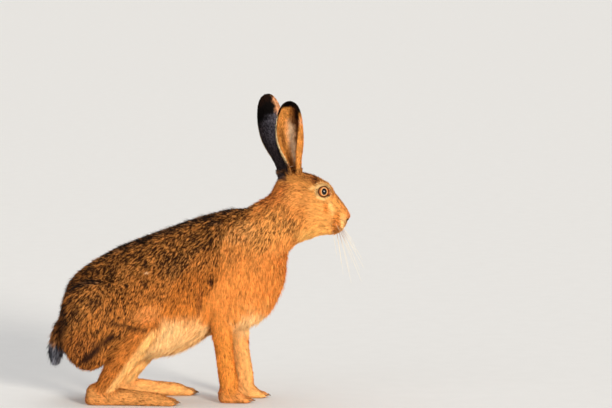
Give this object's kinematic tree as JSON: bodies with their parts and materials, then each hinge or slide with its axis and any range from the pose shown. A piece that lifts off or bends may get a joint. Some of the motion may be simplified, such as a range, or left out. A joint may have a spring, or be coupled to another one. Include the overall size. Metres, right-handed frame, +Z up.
{
  "type": "brown hare",
  "caption": "Life-size brown hare, standing on straight forelegs with its haunches low, head level and long ears up, looking ahead.",
  "frame": {"origin": "centre of the box round the whole hare, at the floor", "axes": "+X forward, the way the hare looks; +Y to its left; +Z up"},
  "size_m": [0.451, 0.1496, 0.4598],
  "materials": {
    "face": "short soft coat, golden tan, paler at the cheek and round the eye",
    "chest": "soft rufous coat",
    "flank": "soft coat, tan with dark ticking, cream below",
    "back": "coarse ticked coat, dark brown and buff",
    "leg": "short close coat, tan outside and cream inside",
    "tail": "full coat, black above and white below",
    "ear": "very short coat, black at the tip, pale at the rims",
    "eye": "wet gloss, amber brown with a dark pupil"
  },
  "bodies": {
    "root": {"head": "face", "neck": "chest", "chest": "chest", "shoulder_right": "flank", "shoulder_left": "flank", "forearm_right": "leg", "forearm_left": "leg", "forepaw_right": "leg", "forepaw_left": "leg", "abdomen": "flank", "rump": "back", "thigh_right": "flank", "thigh_left": "flank", "shank_right": "leg", "shank_left": "leg", "hindfoot_right": "leg", "hindfoot_left": "leg", "tail": "tail", "ear_right": "ear", "ear_left": "ear", "eye_right": "eye", "eye_left": "eye"}
  },
  "joints": []
}
